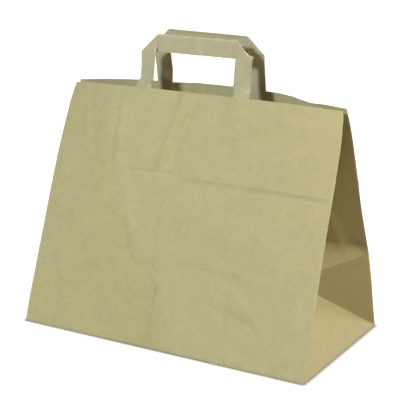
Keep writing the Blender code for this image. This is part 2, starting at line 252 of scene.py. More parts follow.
# %% Say where each section of the sheet goes
SEAM_EDGE_X = -0.112
SEAM_LAP = 0.022
UNDER, LEFT, FACE, RIGHT, REAR = range(5)
under_width = HALF_WIDTH + SEAM_EDGE_X + SEAM_LAP
SPANS = (under_width, DEPTH, WIDTH, DEPTH, HALF_WIDTH - SEAM_EDGE_X)
STARTS = np.concatenate([[0], np.cumsum(SPANS)])
SHEET_WIDTH = STARTS[-1]
PLIES_UNDER = np.array((0, 2, 1, 2, 0))
SETTLE = 0.012


def ease(t):
    """A smooth step from 0 to 1."""
    t = np.clip(t, 0, 1)
    return t * t * (3 - 2 * t)


def place_on_wall(u, section):
    """x along a panel, or the distance from the front fold across a gusset."""
    along = u - STARTS[section]
    x = np.where(section == FACE, along - HALF_WIDTH, HALF_WIDTH - along)
    x = np.where(section == UNDER, SEAM_EDGE_X + SEAM_LAP - along, x)
    across = np.where(section == LEFT, DEPTH - along, along)
    return np.where((section == LEFT) | (section == RIGHT), across, x)


def fold_sheet(u, v, home):
    """Where folding puts points of the flat sheet. home is the section that a flap point is on."""
    u = np.clip(u, 0, SHEET_WIDTH)
    u = np.where(v < 0, np.clip(u, STARTS[home], STARTS[home + 1]), u)
    section = np.where(v < 0, home, np.searchsorted(STARTS[1:-1], u))
    place = place_on_wall(u, section)
    h = np.clip(v, 0, PANEL_HEIGHT)
    turned_in = np.maximum(-v, 0)
    lift = PLY * PLIES_UNDER[section] * (1 - ease(v / SETTLE))
    points = np.zeros((len(u), 3))
    for side, sections in ((FRONT, (FACE,)), (BACK, (UNDER, REAR))):
        here = np.isin(section, sections)
        s = place[here] / HALF_WIDTH
        points[here] = panel(side, s, h[here])
        points[here, 0] -= s * turned_in[here]
        points[here, 1] -= side * turned_in[here]
    for hand, wall in ((-1, LEFT), (1, RIGHT)):
        here = section == wall
        points[here] = gusset(hand, place[here], h[here])
        points[here, 0] -= hand * turned_in[here]
    points[:, 2] += lift
    return points


print("flat sheet", round(1000 * SHEET_WIDTH), "x", round(1000 * (PANEL_HEIGHT + FLAP)), "mm")

# %% [markdown]
# ## The marks of use
#
# A fold crosses the whole bag where the base was folded up against the back for packing, and it
# left the lines of its edges printed on the other layers. The mouth has buckled softly where the
# tapes hold it. Each mark is a stroke on the flat wall, from one point to another: how far it
# stands out, in tenths of a millimetre, and how wide it is, in millimetres. A list of strokes is
# quick to read, and a stroke can be moved by hand after a look at the render.

# %% List the strokes on each wall
# the height of the upper packing crease
PRINT_H = 0.172
# both gussets have a ridge over that crease, and a slight swell low down
GUSSET_STROKES = (
    ((172, 176), (100, 176), 6.0, 5.0),
    ((4, 176), (76, 176), 6.0, 5.0),
    ((88, 96), (88, 60), 3.0, 14.0),
)
STROKES = {
    "front": (
        # packing creases
        ((4, 170.5), (152, 170), -4.6, 2.4),
        ((75, 170), (152, 170.5), -1.6, 2.2),
        ((-62, 172), (-15, 175), -3.2, 2.4),
        ((-150, 174), (-90, 175), -1.0, 1.6),
        ((-16, 88.5), (62, 86), -1.0, 2.2),
        ((-19, 140), (-18, 85), -2.5, 2.6),
        ((-18, 85), (-11, 60), -2.4, 2.8),
        ((-11, 60), (-13, 4), -2.6, 2.9),
        ((-36, 24), (-38, 3), 2.5, 2.4),
        ((104, 33), (132, 47), -3.0, 5.0),
        ((72, 84), (72, 4), -0.8, 2.0),
        # soft buckles down from the mouth
        ((-10, 256), (-26, 192), 22.0, 9.0),
        ((2, 256), (-14, 190), -20.0, 9.0),
        ((26, 252), (-4, 188), 7.0, 9.0),
        ((37, 252), (8, 190), -7.0, 9.0),
        ((-92, 256), (-86, 178), -8.0, 6.0),
        ((-86, 256), (-79, 180), 8.0, 6.0),
        ((-134, 240), (-118, 185), 4.0, 7.0),
        ((-126, 240), (-110, 185), -4.0, 7.0),
        ((100, 256), (112, 200), 4.0, 12.0),
        # dents lower down
        ((-71, 146), (-51, 95), -3.0, 7.0),
        ((-63, 146), (-43, 95), 5.0, 7.0),
        ((42, 84), (74, 80), -3.0, 8.0),
        ((42, 93), (74, 89), 3.0, 8.0),
        ((62, 50), (88, 44), -4.0, 8.0),
        ((62, 60), (88, 54), 4.0, 8.0),
        ((75, 69), (100, 47), 4.0, 6.0),
        ((-70, 140), (-130, 60), 5.0, 22.0),
        ((30, 130), (110, 110), 5.0, 24.0),
    ),
    "back": (
        ((-158, 88), (158, 88), 2.0, 2.2),
        ((-158, 172), (158, 172), -2.4, 1.6),
        ((-72, 176), (-72, 4), -1.4, 2.0),
        ((72, 176), (72, 4), -1.4, 2.0),
        ((-52, 258), (-50, 190), -32.0, 34.0),
        ((119, 258), (116, 190), -40.0, 26.0),
        ((-30, 256), (-42, 190), -9.0, 8.0),
        ((-20, 256), (-16, 200), 8.0, 9.0),
        ((30, 256), (26, 200), 9.0, 14.0),
        ((78, 256), (84, 200), 10.0, 9.0),
        ((104, 256), (100, 195), -12.0, 10.0),
        ((-60, 150), (40, 120), 6.0, 26.0),
        ((60, 60), (130, 30), -4.0, 16.0),
    ),
    "right": GUSSET_STROKES + (
        ((141, 140), (150, 108), 16.0, 9.0),
        ((151, 150), (164, 112), -18.0, 10.0),
        ((44, 116), (50, 150), -18.0, 10.0),
    ),
    "left": GUSSET_STROKES + (
        ((130, 112), (138, 140), -20.0, 9.0),
        ((36, 104), (28, 140), 18.0, 9.0),
        ((50, 120), (54, 150), -20.0, 10.0),
    ),
}
MM = 0.001
TENTH = 0.0001
WALL_OF = {UNDER: "back", LEFT: "left", FACE: "front", RIGHT: "right", REAR: "back"}


def stroke_share(x, h, start, end, wide):
    """1 on the line from start to end, falling off beside it and past its ends."""
    ax, ah = (n * MM for n in start)
    dx, dh = end[0] * MM - ax, end[1] * MM - ah
    length = math.hypot(dx, dh)
    along = ((x - ax) * dx + (h - ah) * dh) / length
    beside = ((x - ax) * dh - (h - ah) * dx) / length
    past = np.maximum(np.maximum(-along, along - length), 0)
    half = wide * MM / 2
    return np.exp(-((beside / half) ** 2) - (past / (3 * half)) ** 2)


def strokes_on(wall, x, h):
    """How far the strokes of a wall move its paper outwards."""
    total = np.zeros_like(x)
    for start, end, high, wide in STROKES[wall]:
        total += high * TENTH * stroke_share(x, h, start, end, wide)
    return total


print("strokes", {wall: len(listed) for wall, listed in STROKES.items()})

# %% [markdown]
# ## The fold across the gussets
#
# Over its packing fold each gusset gives way inwards, so that the paper just above the fold faces
# up and catches the light. From there it comes back evenly and is straight again at the next
# packing crease. The tape ends and their patches also show through the panels as the faintest
# raised shapes, and nothing made of paper is ever quite flat. All these forms are added up into
# one distance along the paper's normal.

# %% Add up how far the paper stands off its folds
# the fallen strip: its slope, and its height beside the middle crease and beside the outer folds
DIP_SLOPE = 0.5
DIP_NEAR = 0.027
DIP_FAR = 0.017
# where it gets less tall, as a share of the way from the middle crease to an outer fold
DIP_SINKS_FROM = 0.45
DIP_SINKS_OVER = 0.35
TAPE_WIDTH = 0.0175
HANDLE_WIDTH = 0.124
HANDLE_X = {FRONT: -0.004, BACK: -0.0035}
LEG_BELOW_RIM = 0.040
LEG_SHOWS = 0.00022
PATCH_SHOWS = 0.00008
PATCH_WIDTH = 0.190
PATCH_HEIGHT = 0.050
PATCH_BELOW_RIM = 0.004
EDGE_SOFT = 0.0025
WAVE_HIGH = 0.00035


def inside(value, low, high):
    """1 between two edges, and softly down to 0 past them."""
    return ease((value - low) / EDGE_SOFT + 0.5) * ease((high - value) / EDGE_SOFT + 0.5)


def glued_in(side, x, h):
    """The tape ends and the patch over them, as they show through a panel."""
    from_middle = np.abs(x - HANDLE_X[side])
    legs = inside(from_middle, HANDLE_WIDTH / 2 - TAPE_WIDTH, HANDLE_WIDTH / 2)
    legs = legs * inside(h, PANEL_HEIGHT - LEG_BELOW_RIM, PANEL_HEIGHT * 2)
    patch_top = PANEL_HEIGHT - PATCH_BELOW_RIM
    patch = inside(from_middle, -1, PATCH_WIDTH / 2) * inside(h, patch_top - PATCH_HEIGHT, patch_top)
    return LEG_SHOWS * legs + PATCH_SHOWS * patch


def gusset_dip(across, h):
    """The paper above the packing fold of a gusset, pushed inwards."""
    over = np.maximum(h - HALF_DEPTH, 0)
    from_crease = np.abs(across - HALF_DEPTH) / HALF_DEPTH
    tall = DIP_NEAR - (DIP_NEAR - DIP_FAR) * ease((from_crease - DIP_SINKS_FROM) / DIP_SINKS_OVER)
    fallen = DIP_SLOPE * np.minimum(over, tall)
    back_at = PRINT_H - HALF_DEPTH
    still_in = np.clip((back_at - over) / (back_at - tall), 0, 1)
    return -fallen * still_in * (1 - from_crease**8)


def never_flat(x, h):
    """Slow waves, like those of any sheet that has been handled."""
    waves = np.sin(41 * x + 17 * h + 0.4) * np.sin(29 * h - 11 * x + 1.1)
    waves = waves + 0.5 * np.sin(83 * x - 38 * h + 2.0) * np.sin(67 * h + 24 * x)
    return WAVE_HIGH * waves


def stand_off(u, v, home):
    """How far each point of the sheet lies outside its ideal folds."""
    section = np.where(v < 0, home, np.searchsorted(STARTS[1:-1], np.clip(u, 0, SHEET_WIDTH)))
    place = place_on_wall(u, section)
    h = np.clip(v, 0, PANEL_HEIGHT)
    clear_of_base = ease(v / SETTLE)
    out = never_flat(place, h)
    for number, wall in WALL_OF.items():
        here = section == number
        out[here] += strokes_on(wall, place[here], h[here])
        if wall in ("left", "right"):
            out[here] += gusset_dip(place[here], h[here])
        else:
            out[here] += glued_in(FRONT if wall == "front" else BACK, place[here], h[here])
    out *= clear_of_base
    # At the seam one ply lies on the other, outside it on the wall and under it on the base.
    lap_end = SEAM_EDGE_X + SEAM_LAP
    over_seam = (section == REAR) * ease((lap_end + SETTLE - place) / SETTLE)
    out += PLY * 1.1 * over_seam * clear_of_base
    out -= PLY * 1.1 * (section == UNDER) * (place > SEAM_EDGE_X) * (1 - clear_of_base)
    return out


# %% [markdown]
# ## Lay out the sheet and fold it
#
# The sheet starts as Blender's grid primitive. Its lines are slid to where the folds will be, with
# one more line close by on each side, so that a fold is a small round and not a knife edge. The
# flaps are slit apart at the corners, and the cells along the 45 degree creases are split along
# them. Its flat coordinates are kept as the UV map, in metres, because the fibres and the creases
# of the paper follow the sheet and not the room. Only then is it folded.

# %% Choose the lines of the grid
CELL = HALF_DEPTH / 32
FLAP_CELL = 0.0075
FOLD_SOFT = 0.0007


def lines_between(start, end, cell):
    """Evenly spaced lines, with one more near each end."""
    count = max(round(abs(end - start) / cell), 1)
    even = list(np.linspace(start, end, count + 1))
    soft = FOLD_SOFT if end > start else -FOLD_SOFT
    return [even[0], start + soft] + even[1:-1] + [end - soft]


columns = []
for section in range(5):
    start, end = STARTS[section], STARTS[section + 1]
    if section in (LEFT, RIGHT):
        middle = (start + end) / 2
        columns += lines_between(start, middle, CELL) + lines_between(middle, end, CELL)
    else:
        columns += lines_between(start, end, CELL)
columns.append(SHEET_WIDTH)
rows = lines_between(-FLAP, 0, FLAP_CELL)
rows += lines_between(0, HALF_DEPTH, CELL)
rows += lines_between(HALF_DEPTH, PRINT_H, CELL)
rows += lines_between(PRINT_H, PANEL_HEIGHT, CELL)
rows.append(PANEL_HEIGHT)
print("grid of", len(columns), "by", len(rows), "lines")

# %% Make the grid and slide its lines


def deselect_all():
    bpy.ops.object.select_all(action="DESELECT")


def select_only(obj):
    """Select one object and make it the active one."""
    deselect_all()
    obj.select_set(True)
    bpy.context.view_layer.objects.active = obj


def write_uv(obj, layer, places):
    """Keep the flat places as the UV map."""
    corner = np.zeros(len(obj.data.loops), int)
    obj.data.loops.foreach_get("vertex_index", corner)
    layer.data.foreach_set("uv", places[corner, :2].ravel())


def add_flat_grid(name, across, up, uv_name):
    """A grid primitive whose lines are slid to the given places, with its UV map in metres."""
    deselect_all()
    bpy.ops.mesh.primitive_grid_add(x_subdivisions=len(across) - 1, y_subdivisions=len(up) - 1, size=1)
    obj = bpy.context.active_object
    obj.name = name
    obj.data.name = name
    places = np.zeros(len(obj.data.vertices) * 3)
    obj.data.vertices.foreach_get("co", places)
    places = places.reshape(-1, 3)
    column = np.round((places[:, 0] + 0.5) * (len(across) - 1)).astype(int)
    row = np.round((places[:, 1] + 0.5) * (len(up) - 1)).astype(int)
    places[:, 0] = np.asarray(across)[column]
    places[:, 1] = np.asarray(up)[row]
    obj.data.vertices.foreach_set("co", places.ravel())
    layer = obj.data.uv_layers[0]
    layer.name = uv_name
    write_uv(obj, layer, places)
    obj.data.update()
    return obj


bag = add_flat_grid("kraft_bag", columns, rows, "sheet")
print("flat sheet has", len(bag.data.polygons), "cells")

# %% Slit the flaps apart and split the cells along the diagonal creases
NEAR = 1e-6
corners = STARTS[1:-1]

bpy.ops.object.mode_set(mode="EDIT")
bpy.ops.mesh.select_all(action="DESELECT")
bpy.ops.mesh.select_mode(type="EDGE")
edit = bmesh.from_edit_mesh(bag.data)
for edge in edit.edges:
    a, b = (vert.co for vert in edge.verts)
    at_corner = abs(a.x - b.x) < NEAR and np.abs(corners - a.x).min() < NEAR * 10
    edge.select_set(bool(at_corner and max(a.y, b.y) < NEAR))
bmesh.update_edit_mesh(bag.data)
slits = sum(edge.select for edge in edit.edges)
bpy.ops.mesh.edge_split(type="EDGE")

bpy.ops.mesh.select_all(action="DESELECT")
bpy.ops.mesh.select_mode(type="VERT")
edit = bmesh.from_edit_mesh(bag.data)
for vert in edit.verts:
    for wall in (LEFT, RIGHT):
        across = vert.co.x - STARTS[wall]
        rising = min(abs(across - vert.co.y), abs(DEPTH - across - vert.co.y)) < NEAR * 10
        if -NEAR < across < DEPTH + NEAR and -NEAR < vert.co.y < HALF_DEPTH + NEAR and rising:
            vert.select_set(True)
bmesh.update_edit_mesh(bag.data)
bpy.ops.mesh.vert_connect()
bpy.ops.object.mode_set(mode="OBJECT")
print("slit edges", slits, ", cells now", len(bag.data.polygons))

# %% Fold the sheet
FOLD_ROUND = 0.00045
BASE_ROUND = 0.0011
BASE_ROUND_REACH = 0.004
NORMAL_STEP = 0.0012


def read_points(obj):
    places = np.zeros(len(obj.data.vertices) * 3)
    obj.data.vertices.foreach_get("co", places)
    return places.reshape(-1, 3)


def write_points(obj, places):
    obj.data.vertices.foreach_set("co", np.asarray(places, np.float32).ravel())
    obj.data.update()


def home_sections(obj, flat):
    """The section that each vertex belongs to, read from a face that it is on."""
    home = np.zeros(len(flat), int)
    for face in obj.data.polygons:
        middle = sum(flat[i, 0] for i in face.vertices) / len(face.vertices)
        home[list(face.vertices)] = np.searchsorted(STARTS[1:-1], middle)
    return home


def unit(vectors):
    """The same directions, 1 long."""
    return vectors / np.maximum(np.linalg.norm(vectors, axis=-1, keepdims=True), 1e-12)


def folded_points(u, v, home):
    """Folded places with the folds a little rounded, and the marks of use on them."""
    r = FOLD_ROUND
    round_v = r + (BASE_ROUND - r) * (1 - ease(np.abs(v) / BASE_ROUND_REACH))
    places = sum(fold_sheet(u + a, v + b * round_v, home) for a in (-r, r) for b in (-1, 0, 1)) / 6
    e = NORMAL_STEP
    along = fold_sheet(u + e, v, home) - fold_sheet(u - e, v, home)
    up = fold_sheet(u, v + e, home) - fold_sheet(u, v - e, home)
    return places + unit(np.cross(along, up)) * stand_off(u, v, home)[:, None]


flat = read_points(bag)
home = home_sections(bag, flat)
write_points(bag, folded_points(flat[:, 0], flat[:, 1], home))
print("folded to", [round(1000 * n, 1) for n in bag.dimensions], "mm")

# %% [markdown]
# ## Wear and painted shade along the creases
#
# Folding breaks the smooth skin of kraft paper, so a fold is a shade paler and rougher than the
# rest. Along a crease that was only pressed in, shade is painted: its colour is made darker. The
# shader can't know where they are. Each vertex therefore gets a number, above 0 for a worn fold and
# below 0 for the painted shade of a pressed crease, and the material reads it as an attribute. A
# second number paints shade on the left part of the front, a little darker and warmer.

# %% Mark the creases on the sheet
CREASE_HALF = 0.0011
NARROW = 3.0
PRESSED_CREASE_SHADE = 0.45
WORN_CORNER = 1.0
WORN_GUSSET = 0.8
WORN_ACROSS = 0.7
WORN_PACKING = 0.35


def crease_strength(u, v):
    """1 on a worn fold, below 0 where a pressed crease gets painted shade, 0 away from them."""
    strong = np.zeros_like(u)

    def mark(distance, strength):
        np.maximum(strong, strength * np.exp(-((distance / CREASE_HALF) ** 2)), out=strong)

    for corner in corners:
        mark(u - corner, WORN_CORNER)
    for wall in (LEFT, RIGHT):
        across = u - STARTS[wall]
        on_wall = np.where((across >= 0) & (across <= DEPTH), 0.0, 1.0)
        over_apex = np.where(v >= HALF_DEPTH, 0.0, 1.0)
        mark(across - HALF_DEPTH + over_apex, WORN_GUSSET)
        mark((across - v) * 0.7 + on_wall + (1 - over_apex), WORN_GUSSET)
        mark((DEPTH - across - v) * 0.7 + on_wall + (1 - over_apex), WORN_GUSSET)
        mark(v - HALF_DEPTH + on_wall, WORN_ACROSS)
    mark(v, WORN_CORNER)
    mark(v - PRINT_H, WORN_PACKING)
    section = np.searchsorted(STARTS[1:-1], u)
    place = place_on_wall(u, section)
    # narrow strokes are pressed creases, whose shade is painted in as a darker colour
    for number, wall in WALL_OF.items():
        for start, end, high, wide in STROKES[wall]:
            if wide < NARROW:
                share_here = stroke_share(place, v, start, end, wide) * (section == number)
                strong -= PRESSED_CREASE_SHADE * share_here * abs(high)
    return strong


# painted shade: left of a slanting line the front panel is made a little darker and warmer, as if it
# were turned from the light
LEFT_SHADE_H = (0.0, 0.059, 0.140, 0.239)
LEFT_SHADE_X = (0.012, -0.005, -0.071, -0.103)
LEFT_SHADE_SOFT = 0.016


def painted_left_shade_share(u, v):
    """1 left of a slanting line on the front panel, softly down to 0 on its right."""
    section = np.searchsorted(STARTS[1:-1], u)
    place = place_on_wall(u, section)
    border = np.interp(v, LEFT_SHADE_H, LEFT_SHADE_X)
    return (section == FACE) * (1 - ease((place - border) / LEFT_SHADE_SOFT + 0.5))


painted_left_shade = bag.data.attributes.new("painted_left_shade", "FLOAT", "POINT")
painted_left_shade.data.foreach_set("value", painted_left_shade_share(flat[:, 0], flat[:, 1]).astype(np.float32))
creases = bag.data.attributes.new("crease", "FLOAT", "POINT")
creases.data.foreach_set("value", crease_strength(flat[:, 0], flat[:, 1]).astype(np.float32))
print("creased vertices", int((crease_strength(flat[:, 0], flat[:, 1]) > 0.5).sum()))

# %% [markdown]
# ## Give the paper its thickness
#
# Kraft paper for a bag of this size is about a fifth of a millimetre thick. Solidify adds that
# towards the inside, so the outer face stays where the folds put it, and closes the cut edges.

# %% Thicken the sheet and shade it
SHEET_SMOOTH = 50
STRIP_SMOOTH = 40


def apply_modifier(obj, kind, **values):
    """Add a modifier and apply it at once."""
    select_only(obj)
    modifier = obj.modifiers.new(kind.title(), kind)
    for key, value in values.items():
        setattr(modifier, key, value)
    bpy.ops.object.modifier_apply(modifier=modifier.name)


def shade_by_angle(obj, degrees):
    select_only(obj)
    bpy.ops.object.shade_smooth_by_angle(angle=math.radians(degrees))


def face_outwards(obj):
    """Turn every face of a closed piece outwards."""
    select_only(obj)
    bpy.ops.object.mode_set(mode="EDIT")
    bpy.ops.mesh.select_all(action="SELECT")
    bpy.ops.mesh.normals_make_consistent(inside=False)
    bpy.ops.object.mode_set(mode="OBJECT")


apply_modifier(bag, "SOLIDIFY", thickness=PLY, offset=-1)
shade_by_angle(bag, SHEET_SMOOTH)
triangles = sum(len(face.vertices) - 2 for face in bag.data.polygons)
print("bag has", triangles, "triangles")

# %% [markdown]
# ## The tape handles
#
# Each handle is one flat tape, folded over at 45 degrees at its two upper corners, so that it runs
# up, across and down again. Two boxes with a mitred bar between them would have the outline but
# not the folds. The tape is therefore laid out straight, with its cross lines slanted where the
# folds will be, and each corner is turned over on its slanted line.

# %% Lay out a tape
HANDLE_RISE = 0.0535
TAPE = 0.0010
TAPE_EDGE = 0.00042
TURN = TAPE / 2 + 0.00005
LEG_LENGTH = LEG_BELOW_RIM + HANDLE_RISE - TAPE_WIDTH
TAPE_LENGTH = 2 * LEG_LENGTH + HANDLE_WIDTH
TAPE_COLUMNS = 14
LEG_LINES = 37
BAR_LINES = 41
SLANT_FROM = 0.55
ROLL_WIDE = 0.0016
ROLL_DEEP = 0.0007
QUARTER = math.pi * TURN / 2


def tape_rows():
    """Pairs: where a cross line starts on the tape's outer edge, and where it ends on the inner."""
    slant = TAPE_WIDTH
    reach = QUARTER * math.sqrt(2)
    legs = []
    for t in np.linspace(0, 1, LEG_LINES):
        start = t * (LEG_LENGTH - reach)
        legs.append((start, start + slant * float(ease((t - SLANT_FROM) / (1 - SLANT_FROM)))))
    turns = [(LEG_LENGTH + k * reach, LEG_LENGTH + slant + k * reach) for k in (-0.5, 0, 0.5, 1)]
    bar_start = turns.pop()
    left_half = legs + turns
    across = []
    for t in np.linspace(0, 1, BAR_LINES):
        low = bar_start[0] + t * (TAPE_LENGTH - 2 * bar_start[0])
        high = bar_start[1] + t * (TAPE_LENGTH - 2 * bar_start[1])
        across.append((low, high))
    right_half = [(TAPE_LENGTH - low, TAPE_LENGTH - high) for low, high in reversed(left_half)]
    return left_half + across + right_half


def flat_tape(name):
    """A straight tape, as long as it is before folding, with slanted lines at its corners."""
    lines = tape_rows()
    even = np.linspace(0, TAPE_WIDTH - ROLL_WIDE, TAPE_COLUMNS)
    across = np.append(even, (TAPE_WIDTH - ROLL_WIDE / 2, TAPE_WIDTH))
    tape = add_flat_grid(name, across, list(range(len(lines))), "tape")
    places = read_points(tape)
    number = np.round(places[:, 1]).astype(int)
    low, high = (np.array([line[end] for line in lines])[number] for end in (0, 1))
    places[:, 1] = low + (high - low) * places[:, 0] / TAPE_WIDTH
    write_uv(tape, tape.data.uv_layers["tape"], places)
    write_points(tape, places)
    return tape


print("tape", round(1000 * TAPE_LENGTH), "x", round(1000 * TAPE_WIDTH), "mm,", len(tape_rows()), "lines")

# %% [markdown]
# ## Fold the corners of a tape
#
# A point's distance before or past a slanted line decides where it goes: before the line it stays,
# past the line it is mirrored in it, and close to the line it goes round a bend as thick as the
# tape. The second corner of the front handle has a small dog-ear, which sticks out of the fold.

# %% Turn the tape over at both corners
DOG_EAR_HIGH = 0.0030
DOG_EAR_WIDE = 0.0046
DOG_EAR_LONG = 0.0022


def turn_over(before, along_line, ear):
    """The distance past the fold line and the height over the first layer, after folding."""
    angle = np.clip(before / TURN, -math.pi / 2, math.pi / 2)
    past = TURN * np.cos(angle) - TURN - np.maximum(np.abs(before) - QUARTER, 0)
    height = TURN * (1 + np.sin(angle))
    return past + ear * np.exp(-((before / DOG_EAR_LONG) ** 2)), height, along_line


def fold_tape(b, a, ear_on_right):
    """b is the distance from the tape's outer edge, a the distance along it from one end.

    The result is x from the handle's middle, height over the layer that the legs are, and v up
    the paper, all with the handle laid flat."""
    root = math.sqrt(2)
    left_half = a < TAPE_LENGTH / 2
    a = np.where(left_half, a, TAPE_LENGTH - a)
    rise = a - LEG_LENGTH
    ear = np.interp(b, (0, 0.001, DOG_EAR_WIDE), (DOG_EAR_HIGH / 6, DOG_EAR_HIGH, 0))
    ear = np.where(left_half, 0, ear) * ear_on_right
    past, height, along = turn_over((rise - b) / root, (rise + b) / root, ear)
    x = -HANDLE_WIDTH / 2 + (along - past) / root
    v = PANEL_HEIGHT + HANDLE_RISE - TAPE_WIDTH + (along + past) / root
    return np.where(left_half, x, -x), height, v


# %% [markdown]
# ## Stand the handles up
#
# Below the rim a handle lies against the inside of its panel. Above the rim it straightens up into
# one plane. The paper isn't stiff, so the legs don't stay in that plane: the left leg of the front
# handle opens away from its bar, and the legs of the back handle have kept a curl. The lines below
# give the plane first and then each leg's own shape.

# %% Find the plane of each handle
HANDLE_BEND = 0.014
HANDLE_LEAN = {FRONT: 0.11, BACK: -0.08}
HANDLE_STANDS_IN = {FRONT: 0.0, BACK: 0.003}
RIM_STEP = 0.004
GUIDE_STEP = 0.002


def panel_with_marks(side, x, h):
    """Points on a panel's outer face, with the marks of use."""
    s = x / half_width(h)
    if side == FRONT:
        section, u = FACE, STARTS[FACE] + HALF_WIDTH + s * HALF_WIDTH
    else:
        section, u = REAR, STARTS[REAR] + HALF_WIDTH - s * HALF_WIDTH
    u, v = np.broadcast_arrays(u, np.asarray(h, float))
    shape = u.shape
    home = np.full(u.size, section)
    u = np.clip(u.ravel(), STARTS[section] + NEAR, STARTS[section + 1] - NEAR)
    return folded_points(u, v.ravel(), home).reshape(shape + (3,))


def handle_guide(side, x, v):
    """The face that a handle and its patch lie on: the panel, then on up past the rim."""
    h = np.minimum(v, PANEL_HEIGHT)
    point = panel_with_marks(side, x, h)
    below = panel_with_marks(side, x, np.full_like(h, PANEL_HEIGHT - RIM_STEP))
    rim = panel_with_marks(side, x, np.full_like(h, PANEL_HEIGHT))
    start_lean = (rim[..., 1] - below[..., 1]) / (rim[..., 2] - below[..., 2])
    end_lean = HANDLE_LEAN[side]
    middle = panel(side, HANDLE_X[side] / half_width(PANEL_HEIGHT), PANEL_HEIGHT)
    past = np.maximum(v - PANEL_HEIGHT, 0)
    turn = np.minimum(past / HANDLE_BEND, 1)
    curved = (start_lean - end_lean) * (turn - turn**2 / 2) * HANDLE_BEND
    level_y = middle[1] - HANDLE_STANDS_IN[side]
    point[..., 1] += (level_y - point[..., 1]) * ease(turn) + curved + end_lean * past
    point[..., 2] += (middle[2] - point[..., 2]) * ease(turn)
    point[..., 2] += past * math.cos(math.atan(end_lean))
    return point


def laid_on(side, x, depth, v):
    """A point at a depth inside the guide's face, square to it."""
    reach = GUIDE_STEP
    up = handle_guide(side, x, v + reach) - handle_guide(side, x, v - reach)
    along = handle_guide(side, x + reach, v) - handle_guide(side, x - reach, v)
    inward = unit(np.cross(along, up)) * side
    return handle_guide(side, x, v) + inward * np.asarray(depth)[..., None]


print("front handle plane leans", HANDLE_LEAN[FRONT], ", back", HANDLE_LEAN[BACK])

# %% Shape the legs and make both handles
LEG_GAP = 0.0001
LEG_DEPTH = PLY + LEG_GAP + TAPE / 2
# front handle: each leg turns about its own length between its foot and its fold
LEG_TURN = math.radians(24)
RIGHT_LEG_TURN = math.radians(10)
LEG_PIVOT = 0.0055
TURN_CLEAR = 0.008
TURN_RUN = 0.014
# its feet splay a little where they leave the rim
FOOT_OUT = 0.0031
FOOT_FROM = 0.004
FOOT_STEP = 0.005
# back handle: the legs turn and curl, and lean out of line
BACK_TURN = math.radians(14)
BACK_TURN_RUN = 0.012
BACK_TURN_CLEAR = 0.005
BACK_LEFT_TURN = math.radians(10)
LEG_CURL = 0.0006
BACK_RIGHT_OUT = 0.0003
BACK_FOOT_OUT = 0.0007
BACK_LEFT_IN = 0.0024
# its bar is a little lower on the right
BACK_TILT = -0.013
BACK_LOWER = 0.0004


def leg_shape(side, x, v, height, b):
    """How far each point of a leg moves outwards along x and towards the outside of its panel."""
    above = v - PANEL_HEIGHT
    shoulder = HANDLE_RISE - TAPE_WIDTH
    in_leg = 1 - np.clip(height / (2 * TURN), 0, 1)
    # what is left of the way to the 45 degree fold, so that a leg joins its bar with no step
    free = in_leg * ease((shoulder + b - above) / TAPE_WIDTH)
    left = x < 0
    from_middle = b - TAPE_WIDTH / 2
    if side == FRONT:
        standing = free * ease((above - FOOT_FROM) / FOOT_STEP)
        standing = standing * ease((shoulder + TURN_CLEAR - above) / TURN_RUN)
        from_pivot = b - LEG_PIVOT
        outside = np.where(left, from_pivot * math.sin(LEG_TURN), from_middle * math.sin(RIGHT_LEG_TURN))
        outside = outside * standing
        outwards = np.where(left, -from_pivot * (1 - math.cos(LEG_TURN)) * standing, 0)
        foot = 1 - ease((above - FOOT_FROM) / FOOT_STEP)
        foot = foot * ease(1 + above / LEG_BELOW_RIM)
        outwards = outwards + np.where(left, FOOT_OUT, FOOT_OUT / 4) * foot
    else:
        turned = free * ease(above / HANDLE_BEND)
        left_turn = from_middle * math.sin(BACK_LEFT_TURN)
        below = shoulder - BACK_TURN_CLEAR - above
        right_turn = b * math.sin(BACK_TURN) * ease(below / BACK_TURN_RUN)
        outside = np.where(left, left_turn, right_turn) * turned
        outside = outside + LEG_CURL * turned * (1 - (2 * b / TAPE_WIDTH - 1) ** 2)
        low = 1 - ease(above / shoulder)
        outwards = np.where(left, -BACK_LEFT_IN * low, BACK_FOOT_OUT * low)
        outwards = outwards + np.where(left, 0, BACK_RIGHT_OUT * ease(x / 0.03))
    return outwards * np.where(left, -1, 1), outside


def make_handle(name, side, ear_on_right):
    """One tape, folded and stood up on its panel."""
    tape = flat_tape(name)
    places = read_points(tape)
    b, a = places[:, 0], places[:, 1]
    x, height, v = fold_tape(b, a, ear_on_right)
    sideways, outside = leg_shape(side, x, v, height, b)
    x = x + HANDLE_X[side] + sideways
    if side == BACK:
        v = v + (BACK_TILT * x - BACK_LOWER) * ease((v - PANEL_HEIGHT) / HANDLE_RISE)
    # the tape's inner edge is rolled back a little, where fingers have closed round it
    rolled = ROLL_DEEP * ease((b - TAPE_WIDTH + ROLL_WIDE) / ROLL_WIDE)
    depth = LEG_DEPTH + height - outside + rolled * ease((v - PANEL_HEIGHT) / HANDLE_BEND)
    write_points(tape, laid_on(side, x, depth, v))
    apply_modifier(tape, "SOLIDIFY", thickness=TAPE, offset=0)
    apply_modifier(tape, "BEVEL", width=TAPE_EDGE, segments=3, limit_method="ANGLE",
                   angle_limit=math.radians(60))
    face_outwards(tape)
    shade_by_angle(tape, STRIP_SMOOTH)
    print(name, "up to", round(1000 * max(p[2] for p in read_points(tape)), 1), "mm")
    return tape


front_handle = make_handle("front_tape_handle", FRONT, 1.0)
back_handle = make_handle("back_tape_handle", BACK, 0.0)

# %% [markdown]
# ## The patches over the tape ends
#
# Inside each panel a strip of the same paper is glued over both ends of the tape. It lies on the
# panel and rises over the tape, which shows as two soft humps. It is a grid as well, laid on the
# same guide as the tape.

# %% Make both patches
PATCH_RAMP = 0.004
PATCH_GAP = 0.0001
PATCH_CELL = 0.0022
WRINKLE = 0.00025
WRINKLE_FREE = 0.01


